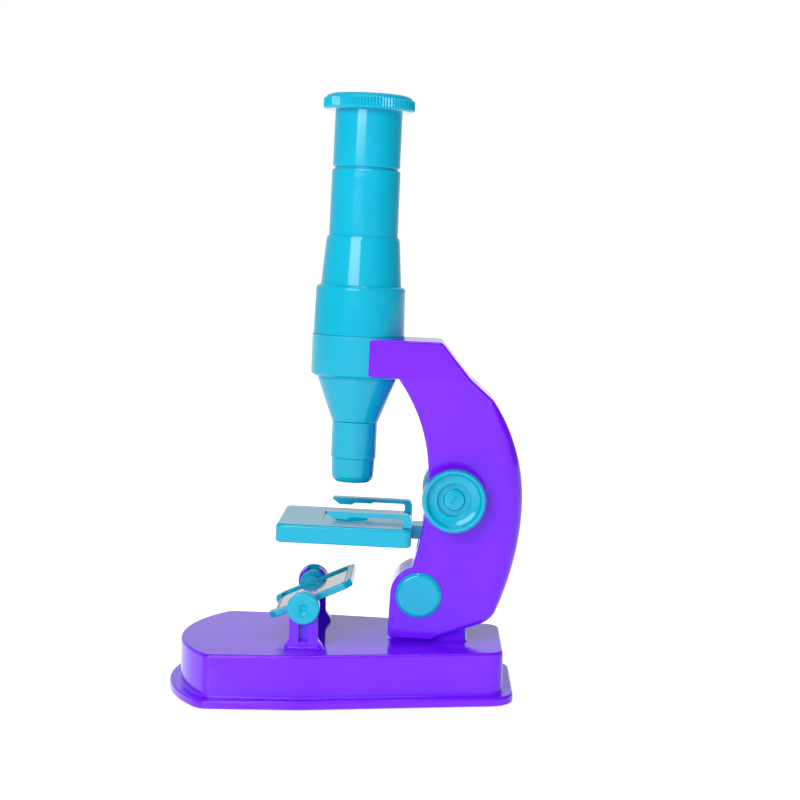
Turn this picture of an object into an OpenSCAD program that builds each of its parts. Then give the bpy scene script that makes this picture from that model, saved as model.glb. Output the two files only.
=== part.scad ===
// Toy microscope: hollow base with a tilting arm, a rack-driven stage, a swivelling mirror and a
// draw-out eyepiece. Millimetres, +Z up, +X towards the back of the arm, -Y is the near side.
// The foot stands on z = 0 and its plan centre is the origin.

/* [Base] */
// Length of the foot from bowed front to straight back.
foot_len = 128.2; // [110:0.2:150]
// Height of the base top above the table.
base_h = 18.7; // [15:0.1:24]
// Height of the foot rim.
rim_h = 3.2; // [2.4:0.1:5]
// How far the foot rim stands out from the base wall.
rim_out = 4; // [2:0.1:6]
// Half the width of the base wall at the front corners.
half_front = 38.2; // [32:0.1:44]
// Half the width of the base wall at the back.
half_back = 24.6; // [20:0.1:32]
// Radius of the bowed front, seen from above.
bow_r = 61.3; // [50:0.1:90]
// Wall of the hollow base.
base_wall = 2.2; // [1.6:0.1:3]

/* [Arm] */
// Distance of the tilt axis behind the foot centre.
pivot_x = 28.8; // [20:0.1:36]
// Height of the tilt axis above the table.
pivot_z = 36.4; // [30:0.1:44]
// How far the arm leans back at rest, degrees.
lean = 1.6; // [0:0.1:5]
// How far the arm tilts back from rest, degrees.
tilt_max = 19; // [10:0.5:22]
// Half the width of the arm at the tilt axis.
arm_half_low = 10.8; // [9:0.1:14]
// Half the width of the arm at the head.
arm_half_top = 16.7; // [14:0.1:20]
// Height of the top of the arm above the tilt axis.
arm_top = 94.2; // [85:0.1:105]
// Height of the underside of the head above the tilt axis.
head_low = 80.2; // [72:0.1:86]
// Radius of the round knuckle at the tilt axis.
knuckle_r = 10.6; // [9:0.1:13]
// Wall of the arm shells.
arm_wall = 2; // [1.6:0.1:3]

/* [Tube] */
// Distance of the optical axis in front of the tilt axis.
tube_off = 27; // [22:0.1:32]
// Radius of the head collar.
collar_r = 17.3; // [15:0.1:20]
// Radius of the drawn part of the tube.
draw_r = 12.75; // [11:0.05:15]
// Radius of the eyepiece barrel.
eye_r = 12.4; // [11:0.05:14]
// Radius of the ribbed eyepiece cap.
cap_r = 16.8; // [15:0.1:19]
// Ribs around the eyepiece cap.
cap_ribs = 90; // [60:2:120]
// Height of the top of the eyepiece above the tilt axis.
tube_top = 183.2; // [170:0.1:200]
// How far the eyepiece draws out.
draw_out = 10; // [5:0.5:14]

/* [Objective] */
// Radius of the objective barrel.
obj_r = 8.4; // [7:0.05:10]
// Height of the objective tip above the tilt axis.
obj_tip = 40; // [36:0.1:46]

/* [Stage] */
// Length of the stage, front to back.
stage_len = 49.4; // [40:0.1:60]
// Width of the stage.
stage_w = 47.2; // [40:0.1:60]
// Thickness of the stage.
stage_t = 6.8; // [5:0.1:9]
// Height of the top of the stage above the tilt axis, at rest.
stage_top = 26.2; // [22:0.1:32]
// Distance of the back edge of the stage in front of the tilt axis.
stage_back = 3.7; // [2.5:0.1:6]
// Diameter of the light hole in the stage.
light_d = 13; // [8:0.5:20]
// Half the distance between the two specimen clips.
clip_y = 18.5; // [14:0.1:21]
// How far the stage can go down and up from rest.
stage_down = 4; // [2:0.5:5]
stage_up = 8; // [4:0.5:10]

/* [Focus] */
// Distance of the knob axis behind the tilt axis.
knob_x = 11.2; // [9:0.1:14]
// Height of the knob axis above the tilt axis.
knob_z = 37.2; // [33:0.1:42]
// Radius of the focus knobs.
knob_r = 11.85; // [10:0.05:14]
// Teeth around each knob.
knob_teeth = 90; // [60:2:120]
// Distance of a knob's outer face from the middle of the arm.
knob_out = 22.1; // [19:0.1:26]
// Teeth of the pinion; its module is 1 mm.
pinion_teeth = 8; // [8:1:12]

/* [Mirror] */
// Distance of the mirror axis in front of the foot centre.
mirror_off = 12.6; // [8:0.1:20]
// Height of the mirror axis above the table.
mirror_z = 34.2; // [30:0.1:40]
// Angle of the mirror at rest, degrees.
mirror_rest = 23.5; // [0:0.5:45]
// Length of the mirror frame.
mirror_len = 32.4; // [26:0.1:36]
// Width of the mirror frame.
mirror_w = 38; // [30:0.1:42]
// Distance of a post's outer face from the middle.
post_out = 27; // [24:0.1:30]
// Width of a mirror post.
post_w = 10.2; // [8:0.1:13]

/* [Hidden] */
$fn = 96;
teal = [0.11, 0.72, 0.88];
purple = [0.49, 0.19, 0.99];
steel = [0.72, 0.73, 0.76];
clear = [0.82, 0.9, 0.95];
silver = [0.8, 0.82, 0.84];
big = 300;
gap = 0.3;
fit = 0.05;
cover_t = 2;
roof_t = 2.4;
roof_z = base_h - roof_t;
body_back = foot_len / 2 - rim_out;
body_front = -body_back;
bend_x = -13;
bend_y = 37;
crease_x = body_front + 13.2;
side_a = unit([-(bend_y - half_front), bend_x - crease_x]);
side_b = unit([-(half_back - bend_y), body_back - bend_x]);
cover_spots = [[-40, 24], [-40, -24], [49, 15], [49, -15]];
post_y = post_out - 2;
base_low = -(pivot_z - base_h);
seat = tilt_max + lean;
seat_n = [-sin(seat), cos(seat)];
seat_c = base_low + 0.35;
pillar_half = 7.6;
hub_half = 6;
boss_in = hub_half + gap;
hub_r = 8.3;
boss_r = 8.2;
well_r = 4.4;
well_y = 7.9;
bolt_r = 2;
back_x = 36.8;
back_z = 34;
back_up = 68;
back_dn = 100;
inner_x = 1.4;
inner_z = 43.5;
inner_up = 60;
inner_dn = 130;
taper_lo = 11;
taper_hi = 80;
arm_screw_spots = [[-5, 87.2], [25, 62], [29.5, 30], [23.8, -1.5]];
tail_r = 9;
tail_mid = [back_x - back_dn, back_z];
tail_a = atan2(seat_n[1], seat_n[0]) - acos((seat_c + tail_r - seat_n * tail_mid) / (back_dn - tail_r));
tail_o = tail_mid + (back_dn - tail_r) * [cos(tail_a), sin(tail_a)];
pitch_r = pinion_teeth / 2;
pitch = PI;
rack_x = knob_x - pitch_r;
stage_low = stage_top - stage_t;
hollow = 2.9;
bracket_top = 25.2;
bracket_low = 20.2;
bracket_half = 6;
slot_half = bracket_half + 0.4;
peg_x = stage_back + 2.2;
peg_r = 1.25;
bar_z = stage_top + 3.6;
bar_t = 1.4;
pin_r = 2.4;
screw_r = 1.4;

function unit(v) = v / norm(v);
// Where the lines a.p = ca and b.p = cb meet.
function meet(a, ca, b, cb) =
    let (d = a[0] * b[1] - a[1] * b[0]) [(ca * b[1] - cb * a[1]) / d, (a[0] * cb - b[0] * ca) / d];
function flip(p) = [p[0], -p[1]];
// Tangent length of a corner arc of radius r at p between a and b.
function corner(a, p, b, r) =
    let (u = unit(a - p), v = unit(b - p), h = acos(u * v) / 2) [p + u * r / tan(h), p + v * r / tan(h), p + unit(u + v) * r / sin(h)];

// A convex outline with a true arc of radius rs[i] at each corner.
module round_poly(ps, rs) {
    n = len(ps);
    cs = [for (i = [0 : n - 1]) corner(ps[(i + n - 1) % n], ps[i], ps[(i + 1) % n], max(rs[i], 0.001))];
    polygon([for (c = cs) each [c[0], c[1]]]);
    for (i = [0 : n - 1])
        if (rs[i] > 0)
            translate(cs[i][2])
                circle(r = rs[i]);
}

// Places a part drawn in the arm's own upright frame, whose origin is the tilt axis.
module on_arm() {
    translate([pivot_x, 0, pivot_z])
        rotate([0, lean, 0])
            children();
}

// Places a part drawn about the optical axis.
module on_axis() {
    on_arm()
        translate([-tube_off, 0, 0])
            children();
}

// A cylinder along Y between two Y values, at [x, z].
module ycyl(p, y0, y1, r, n = 96) {
    translate([p[0], y1, p[1]])
        rotate([90, 0, 0])
            cylinder(r = r, h = y1 - y0, $fn = n);
}

// An outline drawn in the XZ plane, between two Y values.
module yplate(y0, y1) {
    translate([0, y1, 0])
        rotate([90, 0, 0])
            linear_extrude(y1 - y0)
                children();
}

// A round piece from [radius, height] points.
module lathe(ps) {
    rotate_extrude($fn = 96)
        polygon(ps);
}

// Countersunk screw, head at z = 0 pointing down, shank upwards.
module screw(len, r = screw_r, head = 2.7) {
    lathe([[0, 0], [head, 0], [head, 0.6], [r, 0.6 + head - r], [r, len - 1], [0.4, len], [0, len]]);
}

// Pan-head screw: head below z = 0, shank upwards.
module pan_screw(len, r = screw_r, head = 2.7, ht = 1.6) {
    difference() {
        lathe([[0, -ht], [head * 0.8, -ht], [head, -ht * 0.5], [head, 0], [r, 0], [r, len - 1], [0.4, len], [0, len]]);
        for (a = [0, 90])
            rotate(a)
                translate([-1.5, -0.3, -ht - 1])
                    cube([3, 0.6, 1.8]);
    }
}

// ---- base ----

// Plan of the base wall, grown by g.
module plan(g) {
    ca = side_a * [bend_x, bend_y] + g;
    cb = side_b * [bend_x, bend_y] + g;
    p0 = meet(side_a, ca, [1, 0], -75);
    p1 = meet(side_a, ca, side_b, cb);
    p2 = meet(side_b, cb, [1, 0], body_back + g);
    intersection() {
        round_poly([p0, p1, p2, flip(p2), flip(p1), flip(p0)], [0, 30 + g, 6 + g, 6 + g, 30 + g, 0]);
        translate([body_front + bow_r, 0])
            circle(r = bow_r + g, $fn = 240);
    }
}

module post_hole() {
    translate([0, 0, roof_z - 1])
        cylinder(r = 2.6, h = roof_t + 2);
}

module base_shell() {
    color(purple)
        difference() {
            union() {
                difference() {
                    union() {
                        linear_extrude(rim_h)
                            plan(rim_out);
                        linear_extrude(base_h)
                            plan(0);
                    }
                    translate([0, 0, -1])
                        linear_extrude(roof_z + 1)
                            plan(-base_wall);
                    translate([0, 0, -1])
                        linear_extrude(cover_t + 1.1)
                            plan(1.7);
                }
                for (p = cover_spots)
                    translate([p[0], p[1], cover_t + 0.1])
                        cylinder(r = 3.2, h = roof_z - cover_t);
            }
            for (p = cover_spots)
                translate([p[0], p[1], 0])
                    cylinder(r = screw_r + 0.02, h = 12);
            for (s = [-1, 1])
                translate([-mirror_off, s * post_y, 0])
                    post_hole();
            for (x = [-3, 12])
                translate([pivot_x + x, 0, roof_z - 1])
                    cylinder(r = screw_r + 0.1, h = roof_t + 2);
        }
}

module base_cover() {
    color(purple)
        difference() {
            union() {
                linear_extrude(cover_t)
                    plan(1.4);
                linear_extrude(cover_t + 1.8)
                    plan(-base_wall - gap);
            }
            translate([0, 0, cover_t])
                linear_extrude(3)
                    plan(-base_wall - gap - 1.6);
            for (p = cover_spots)
                translate([p[0], p[1], -0.01])
                    lathe([[0, 0], [2.75, 0], [2.75, 0.65], [screw_r + 0.1, 0.65 + 2.65 - screw_r], [screw_r + 0.1, 3], [0, 3]]);
        }
}

module cover_screws() {
    color(steel)
        for (p = cover_spots)
            translate([p[0], p[1], 0.01])
                screw(11);
}

module pillar() {
    color(purple)
        translate([pivot_x, 0, pivot_z])
            difference() {
                union() {
                    yplate(-pillar_half, pillar_half)
                        polygon([[-10.5, base_low], [17.7, base_low], [17.7, -11], [5.87, 5.87], [-8.3, 0],
                            [-8.3, base_low + 1.2], [-10.5, base_low + 1.2]]);
                    ycyl([0, 0], -hub_half, hub_half, hub_r);
                }
                for (s = [-1, 1])
                    ycyl([0, 0], s > 0 ? hub_half : -20, s > 0 ? 20 : -hub_half, boss_r + gap);
                ycyl([0, 0], -20, 20, bolt_r + fit);
                for (x = [-3, 12])
                    translate([x, 0, base_low - 1])
                        cylinder(r = screw_r + 0.02, h = 8.5);
            }
}

module pillar_screws() {
    color(steel)
        for (x = [-3, 12])
            translate([pivot_x + x, 0, roof_z])
                pan_screw(roof_t + 6, head = 2.9);
}

// ---- mirror ----

// A mirror post at the origin of its foot; +Y is its outer side.
module post() {
    up = mirror_z - base_h;
    difference() {
        union() {
            translate([0, 0, up])
                ycyl([0, 0], -2, 2, post_w / 2 + 0.6);
            translate([-post_w / 2, -2, 0])
                cube([post_w, 4, up]);
            translate([-9, -4, 0])
                cube([18, 7.5, 1]);
            translate([0, 0, -roof_t - 1])
                cylinder(r = 2.5, h = roof_t + 2);
        }
        translate([0, 0, up])
            ycyl([0, 0], -5, 5, pin_r + fit);
        translate([-2, -5, up])
            cube([4, 10, 12]);
        translate([-1.6, 0.2, 2.4])
            cube([3.2, 5, up - 8]);
        translate([0, 0, -roof_t - 2])
            cylinder(r = 1.1, h = 8);
    }
}

module mirror_post_near() {
    color(purple)
        translate([-mirror_off, -post_y, base_h])
            rotate(180)
                post();
}

module mirror_post_far() {
    color(purple)
        translate([-mirror_off, post_y, base_h])
            post();
}

module post_screws() {
    color(steel)
        for (s = [-1, 1])
            translate([-mirror_off, s * post_y, roof_z - 1])
                pan_screw(6, r = 1.08, head = 3.3, ht = 1.4);
}

// Places a part drawn level about the mirror axis.
module on_mirror() {
    translate([-mirror_off, 0, mirror_z])
        rotate([0, -mirror_rest, 0])
            children();
}

module mirror_outline(g) {
    l = mirror_len / 2 + g;
    w = mirror_w / 2 + g;
    c = 3;
    polygon([[-l + c, -w], [l - c, -w], [l, -w + c], [l, w - c], [l - c, w], [-l + c, w], [-l, w - c], [-l, -w + c]]);
}

module mirror_frame() {
    color(teal)
        on_mirror()
            difference() {
                union() {
                    translate([0, 0, -1.9])
                        linear_extrude(3.8)
                            mirror_outline(0);
                    for (s = [-1, 1])
                        translate([0, s * (mirror_w / 2 - 0.8), 0])
                            ycyl([0, 0], -1.8, 1.8, 3.2);
                }
                translate([-mirror_len / 2 + 2.6, -mirror_w / 2 + 2.6, -0.1])
                    cube([mirror_len - 5.2, mirror_w - 5.2, 5]);
                for (s = [-1, 1])
                    ycyl([0, 0], s > 0 ? mirror_w / 2 - 2.2 : -30, s > 0 ? 30 : -mirror_w / 2 + 2.2, 1.3);
            }
}

module mirror_plate() {
    color(silver)
        on_mirror()
            translate([-mirror_len / 2 + 2.65, -mirror_w / 2 + 2.65, -0.1])
                cube([mirror_len - 5.3, mirror_w - 5.3, 1.1]);
}

// A mirror pin: outer disc, shaft through the post, inner collar and press-in stub. +Y is outwards.
module mirror_pin() {
    y0 = mirror_w / 2 + 1;
    difference() {
        union() {
            ycyl([0, 0], post_out + gap, post_out + gap + 2, 5.9);
            ycyl([0, 0], y0, post_out + gap + 0.1, pin_r);
            ycyl([0, 0], y0, post_out - 4 - gap, 4.8);
            ycyl([0, 0], y0 - 3, y0 + 0.1, 1.28);
        }
        translate([0, post_out + gap + 2, 0])
            rotate([90, 0, 0])
                cylinder(r1 = 1.3, r2 = 0.5, h = 1.2);
    }
}

module mirror_pin_near() {
    color(teal)
        on_mirror()
            mirror([0, 1, 0])
                mirror_pin();
}

module mirror_pin_far() {
    color(teal)
        on_mirror()
            mirror_pin();
}

// ---- arm ----

// Side outline of the arm, drawn x across and z up, pulled in by d.
module arm_outline(d) {
    diag_n = unit([-(81 - 93.4), 15.5 - 4.8]);
    diag_c = diag_n * [4.8, 93.4] - d;
    bulge_n = unit([-(74.3 - 81), 23.5 - 15.5]);
    bulge_c = bulge_n * [15.5, 81] - d;
    a = meet([0, 1], arm_top - d, diag_n, diag_c);
    b = meet(diag_n, diag_c, bulge_n, bulge_c);
    c = meet(bulge_n, bulge_c, [1, 0], 45);
    e = meet(seat_n, seat_c + d, [1, 0], 45);
    f = meet(seat_n, seat_c + d, [0, 1], -16.4 + d);
    h = [-tube_off, arm_top - d];
    difference() {
        intersection() {
            polygon([h, [-tube_off, head_low + d], [-11.3 + d, head_low + d], [-11.3 + d, 12], [-10.6 + d, 0],
                [-10.9 + d, -16.4 + d], f, e, c, b, a]);
            union() {
                intersection() {
                    translate([back_x - back_up, back_z])
                        circle(r = back_up - d, $fn = 240);
                    translate([-60, back_z])
                        square([150, 100]);
                }
                intersection() {
                    translate([back_x - back_dn, back_z])
                        circle(r = back_dn - d, $fn = 300);
                    translate([-60, -60])
                        square([150, 60 + back_z]);
                }
            }
        }
        difference() {
            union() {
                intersection() {
                    translate([inner_x - inner_up, inner_z])
                        circle(r = inner_up + d, $fn = 240);
                    translate([-90, inner_z])
                        square([150, head_low + d - inner_z]);
                }
                intersection() {
                    translate([inner_x - inner_dn, inner_z])
                        circle(r = inner_dn + d, $fn = 300);
                    translate([-90, 0])
                        square([150, inner_z]);
                }
            }
            circle(r = knuckle_r - d);
        }
        difference() {
            polygon([tail_o + (tail_r - d) * [cos(tail_a), sin(tail_a)], tail_o - (tail_r - d) * seat_n,
                tail_o + 2 * tail_r * ([cos(tail_a), sin(tail_a)] - seat_n)]);
            translate(tail_o)
                circle(r = tail_r - d);
        }
    }
}

// Everything between the arm's two side faces, pulled in by d.
module arm_width(d) {
    lo = arm_half_low - d;
    hi = arm_half_top - d;
    translate([-60, 0, 0])
        rotate([90, 0, 90])
            linear_extrude(160)
                polygon([[-lo, -30], [lo, -30], [lo, taper_lo], [hi, taper_hi], [hi, 110], [-hi, 110], [-hi, taper_hi],
                    [-lo, taper_lo]]);
}

// One half of the arm on the side s (-1 near, 1 far), still without its screw details.
module arm_half(s) {
    difference() {
        union() {
            difference() {
                intersection() {
                    yplate(s > 0 ? 0 : -30, s > 0 ? 30 : 0)
                        arm_outline(0);
                    arm_width(0);
                }
                intersection() {
                    yplate(-31, 31)
                        arm_outline(arm_wall);
                    arm_width(arm_wall);
                }
            }
            intersection() {
                arm_width(0.5);
                yplate(s > 0 ? 0 : -30, s > 0 ? 30 : 0)
                    arm_outline(0.5);
                union() {
                    for (p = arm_screw_spots)
                        ycyl(p, s > 0 ? 0 : -30, s > 0 ? 30 : 0, 3.3);
                    ycyl([knob_x, knob_z], s > 0 ? 8.4 : -30, s > 0 ? 30 : -8.4, 4.2);
                    ycyl([0, 0], s > 0 ? boss_in : -30, s > 0 ? 30 : -boss_in, boss_r);
                    yplate(s > 0 ? 5.2 : -30, s > 0 ? 30 : -5.2)
                        translate([6.2, 20])
                            square([1.6, 9.5]);
                    yplate(s > 0 ? 5.2 : -30, s > 0 ? 30 : -5.2)
                        translate([6.2, 46])
                            square([1.6, 9]);
                }
            }
        }
        translate([-tube_off, 0, head_low - 5])
            cylinder(r = collar_r + fit, h = 30);
        ycyl([0, 0], -30, 30, bolt_r + fit);
        ycyl([0, 0], s > 0 ? well_y : -30, s > 0 ? 30 : -well_y, well_r);
        ycyl([knob_x, knob_z], -30, 30, 2 + fit);
        translate([-6, -slot_half, bracket_low - stage_down - 0.5])
            cube([11.5, 2 * slot_half, bracket_top - bracket_low + stage_down + stage_up + 1]);
        translate([-9, -pillar_half - 0.35, -30])
            cube([32.3, 2 * pillar_half + 0.7, 24.5]);
    }
}

module arm_near() {
    color(purple)
        on_arm()
            difference() {
                arm_half(-1);
                for (p = arm_screw_spots)
                    ycyl(p, -8, 1, screw_r + 0.02);
            }
}

module arm_far() {
    color(purple)
        on_arm()
            difference() {
                arm_half(1);
                for (p = arm_screw_spots)
                    ycyl(p, -1, 30, screw_r + 0.1);
                for (p = arm_screw_spots)
                    ycyl(p, 5, 30, 3);
            }
}

module arm_screws() {
    color(steel)
        on_arm()
            for (p = arm_screw_spots)
                translate([p[0], 5, p[1]])
                    rotate([90, 0, 0])
                        pan_screw(11.5);
}

module pivot_bolt() {
    color(steel)
        on_arm()
            difference() {
                union() {
                    ycyl([0, 0], -well_y - 0.6, well_y + 2.2, bolt_r);
                    ycyl([0, 0], -well_y - 2.1, -well_y - 0.6, 3.6);
                }
                translate([-1.8, -well_y - 3, -0.4])
                    cube([3.6, 1.6, 0.8]);
            }
}

module pivot_nut() {
    color(steel)
        on_arm()
            difference() {
                ycyl([0, 0], well_y + 0.6, well_y + 2.2, 4, 6);
                ycyl([0, 0], 0, 30, bolt_r + 0.02);
            }
}

module pivot_washers() {
    color(steel)
        on_arm()
            for (s = [-1, 1])
                difference() {
                    ycyl([0, 0], s > 0 ? well_y : -well_y - 0.6, s > 0 ? well_y + 0.6 : -well_y, 4.2);
                    ycyl([0, 0], -30, 30, bolt_r + fit);
                }
}

// Snap-in cap that hides the bolt; +Y is outwards.
module pivot_cap() {
    translate([0, arm_half_low, 0])
        rotate([-90, 0, 0])
            lathe([[0, 0], [3.7, 0], [3.7, -0.5], [well_r - 0.02, -0.5], [well_r - 0.02, 0], [8.5, 0], [8.5, 1.1],
                [8.25, 1.5], [7.7, 1.7], [0, 1.8]]);
}

module pivot_cap_near() {
    color(teal)
        on_arm()
            mirror([0, 1, 0])
                pivot_cap();
}

module pivot_cap_far() {
    color(teal)
        on_arm()
            pivot_cap();
}

// ---- tube ----

// Ring held by the arm; its tongue is keyed on the arm's front boss between the two shells.
module head_collar() {
    color(teal)
        on_axis()
            difference() {
                union() {
                    lathe([[0, 79.4], [16.3, 79.4], [collar_r, 80.4], [collar_r, 94.8], [0, 94.8]]);
                    translate([14, -8, head_low + 2.05])
                        cube([13, 16, arm_top - head_low - 4.1]);
                }
                translate([0, 0, 70])
                    cylinder(r = 15.2, h = 30);
                ycyl([tube_off + arm_screw_spots[0][0], arm_screw_spots[0][1]], -20, 20, 3.35);
            }
}

module body_tube() {
    color(teal)
        on_axis()
            lathe([[13, 84], [15.15, 84], [15.15, 94.85], [16.9, 94.85], [17.05, 95.2], [17, 96.5], [16.55, 111.6],
                [16.3, 112.4], [15.6, 113], [14.9, 113.1], [13.6, 129.8], [13.3, 130.7], [12.8, 131.1],
                [12.8, 120], [13, 119.6]]);
}

module draw_tube() {
    color(teal)
        on_axis()
            lathe([[11.7, 119.8], [draw_r, 119.8], [draw_r, 131.6], [draw_r - 0.15, 155], [draw_r - 0.45, 155.5],
                [11.7, 155.5]]);
}

module eyepiece_barrel() {
    color(teal)
        on_axis()
            lathe([[9.2, 150.5 - draw_out], [11.65, 150.5 - draw_out], [11.65, 156.4], [12.2, 156.4], [eye_r, 156.6], [eye_r, 179.6],
                [10.4, 179.6], [10.4, 158.2], [9.2, 158.2]]);
}

// Flat toothed ring outline between radii r0 and r1.
module teeth(n, r0, r1) {
    polygon([for (i = [0 : n - 1]) each [
        r0 * [cos(i * 360 / n), sin(i * 360 / n)],
        r1 * [cos((i + 0.5) * 360 / n), sin((i + 0.5) * 360 / n)]]]);
}

module eyepiece_cap() {
    color(teal)
        on_axis()
            difference() {
                union() {
                    lathe([[0, 177], [15.6, 177], [16.2, 177.3], [16.3, 177.9], [16.3, 181], [15.9, 181.5], [15.7, 181.9],
                        [14.6, 182.5], [10, 183], [4.4, tube_top], [0, tube_top]]);
                    translate([0, 0, 177.7])
                        linear_extrude(3.5)
                            teeth(cap_ribs, cap_r - 0.45, cap_r);
                }
                lathe([[0, 170], [eye_r + 0.02, 170], [eye_r + 0.02, 179.6], [9.95, 179.6], [9.95, 181.3], [4, 181.3],
                    [5.4, 190], [0, 190]]);
            }
}

module eye_lens() {
    color(clear)
        on_axis()
            lathe([[0, 179.2], [5, 179.35], [9, 179.6], [9.9, 179.65], [9.9, 181.2], [0, 181.2]]);
}

module field_lens() {
    color(clear)
        on_axis()
            lathe([[0, 158.25], [10.35, 158.25], [10.35, 159.4], [9.2, 159.4], [6, 159.95], [0, 160.3]]);
}

module eye_spacer() {
    color([0.1, 0.1, 0.11])
        on_axis()
            lathe([[9.3, 159.45], [10.36, 159.45], [10.36, 179.55], [9.3, 179.55]]);
}

module nose_cone() {
    color(teal)
        on_axis()
            lathe([[13.2, 83.9], [13.2, 78], [7, 62.6], [8.5, 62.6], [8.7, 62.9], [14.5, 78.2], [14.65, 78.7],
                [14.65, 79.35], [15.15, 79.35], [15.15, 83.9]]);
}

module objective_barrel() {
    color(teal)
        on_axis()
            lathe([[5.4, 49], [8.2, 49], [obj_r, 49.2], [obj_r, 62.3], [8.2, 62.55], [6.95, 62.55], [6.95, 66], [5.4, 66]]);
}

module objective_tip() {
    color(teal)
        on_axis()
            difference() {
                lathe([[0, obj_tip], [6.3, obj_tip], [7.3, obj_tip + 0.9], [7.8, obj_tip + 2.2], [8.1, 48.8],
                    [8, 48.95], [5.35, 48.95], [5.35, 54], [0, 54]]);
                lathe([[0, 30], [5.2, 30], [2.4, obj_tip + 1.6], [2.4, obj_tip + 2.4], [4.05, obj_tip + 2.4], [4.05, 60],
                    [0, 60]]);
            }
}

module objective_lens() {
    color(clear)
        on_axis()
            lathe([[0, obj_tip + 2.45], [4, obj_tip + 2.45], [4, obj_tip + 3.6], [2.5, obj_tip + 4.1],
                [0, obj_tip + 4.4]]);
}

module lens_retainer() {
    color([0.1, 0.1, 0.11])
        on_axis()
            lathe([[2.9, obj_tip + 4.45], [4.03, obj_tip + 3.75], [4.03, obj_tip + 6.5], [2.9, obj_tip + 6.5]]);
}

// ---- stage ----

module stage_plan(g) {
    x0 = -stage_back - stage_len - g;
    x1 = -stage_back + g;
    y = stage_w / 2 + g;
    round_poly([[x0, -y], [x1, -y], [x1, y], [x0, y]], [3 + g, 3 + g, 3 + g, 3 + g]);
}

module stage_plate() {
    color(teal)
        on_arm()
            difference() {
                union() {
                    difference() {
                        translate([0, 0, stage_low])
                            linear_extrude(stage_t)
                                stage_plan(0);
                        translate([0, 0, stage_low - 1])
                            linear_extrude(hollow + 1)
                                stage_plan(-2);
                    }
                    for (s = [-1, 1])
                        translate([-peg_x, s * clip_y, stage_low])
                            cylinder(r = 3, h = hollow + 1);
                    translate([-tube_off, 0, stage_low])
                        cylinder(r = light_d / 2 + 1.8, h = hollow + 1);
                }
                translate([-37, -12.5, stage_top - 0.5])
                    cube([30, 25, 2]);
                translate([-tube_off, 0, stage_low - 1])
                    cylinder(d = light_d, h = stage_t + 2);
                for (s = [-1, 1])
                    translate([-peg_x, s * clip_y, stage_low - 1])
                        cylinder(r = peg_r + fit, h = stage_t + 2);
                for (s = [-1, 1])
                    translate([-12, s * 3.2, 21])
                        cylinder(r = 0.98, h = 4);
                translate([-stage_back - 3, -bracket_half - 0.02, stage_low - 1])
                    cube([4, 2 * bracket_half + 0.04, bracket_top - stage_low + 1.02]);
            }
}

// Bracket, slide plate and rack in one piece.
module stage_slider() {
    color(teal)
        on_arm()
            difference() {
                union() {
                    translate([-16, -5.8, 20.3])
                        cube([10.5, 11.6, 1.8]);
                    translate([-stage_back - 1.98, -bracket_half, bracket_low])
                        cube([stage_back + 6, 2 * bracket_half, bracket_top - bracket_low]);
                    translate([3.8, -7.5, 18.2])
                        cube([2.1, 15, 28.6]);
                    yplate(-4, 4)
                        for (i = [-4 : 2])
                            translate([rack_x, knob_z + (i + 0.5) * pitch])
                                polygon([[-1.35, -1.02], [0, -0.62], [1, -0.26], [1, 0.26], [0, 0.62], [-1.35, 1.02]]);
                }
                for (s = [-1, 1])
                    translate([-12, s * 3.2, 19])
                        cylinder(r = 1.1, h = 6);
            }
}

module stage_screws() {
    color(steel)
        on_arm()
            for (s = [-1, 1])
                translate([-12, s * 3.2, 20.3])
                    pan_screw(4.2, r = 0.96, head = 2, ht = 0.7);
}

// Specimen clip: peg, leg, bar and two pads under the bar.
module clip() {
    ycut = 2.5;
    translate([-peg_x, 0, stage_low + 1.4])
        cylinder(r = peg_r, h = stage_t);
    yplate(-ycut, ycut)
        polygon([[-stage_back - 0.4, stage_top + 0.1], [-stage_back - 0.4, bar_z + 0.4],
            [-stage_back - 0.7, bar_z + 1.1], [-stage_back - 1.4, bar_z + bar_t], [-34.4, bar_z + bar_t],
            [-35, bar_z + 1], [-33.8, bar_z], [-32, bar_z - 1.3], [-27.4, bar_z - 1.3], [-26.2, bar_z - 0.5],
            [-19.8, bar_z - 0.5], [-19, bar_z], [-stage_back - 4.2, bar_z], [-stage_back - 3.4, bar_z - 0.8],
            [-stage_back - 3.2, stage_top + 0.1]]);
}

module stage_clip_near() {
    color(teal)
        on_arm()
            translate([0, -clip_y, 0])
                clip();
}

module stage_clip_far() {
    color(teal)
        on_arm()
            translate([0, clip_y, 0])
                clip();
}

// ---- focus drive ----

module focus_shaft() {
    color(steel)
        on_arm()
            difference() {
                ycyl([knob_x, knob_z], -knob_out + 2.4, knob_out - 2.4, 2);
                for (s = [-1, 1])
                    translate([knob_x, s * (knob_out - 2.4), knob_z])
                        rotate([0, 30, 0])
                            cube([0.5, 3, 6], center = true);
            }
}

module focus_pinion() {
    n = pinion_teeth;
    tip = pitch_r + 0.95;
    root = pitch_r - 1.25;
    color([0.92, 0.92, 0.9])
        on_arm()
            translate([knob_x, 0, knob_z])
                difference() {
                    union() {
                        ycyl([0, 0], -4, 4, root);
                        yplate(-4, 4)
                            for (i = [0 : n - 1])
                                rotate(180 + i * 360 / n)
                                    polygon([[root - 0.4, -0.9], [pitch_r, -0.55], [tip, -0.2], [tip, 0.2],
                                        [pitch_r, 0.55], [root - 0.4, 0.9]]);
                    }
                    ycyl([0, 0], -5, 5, 2.02);
                }
}

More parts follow.
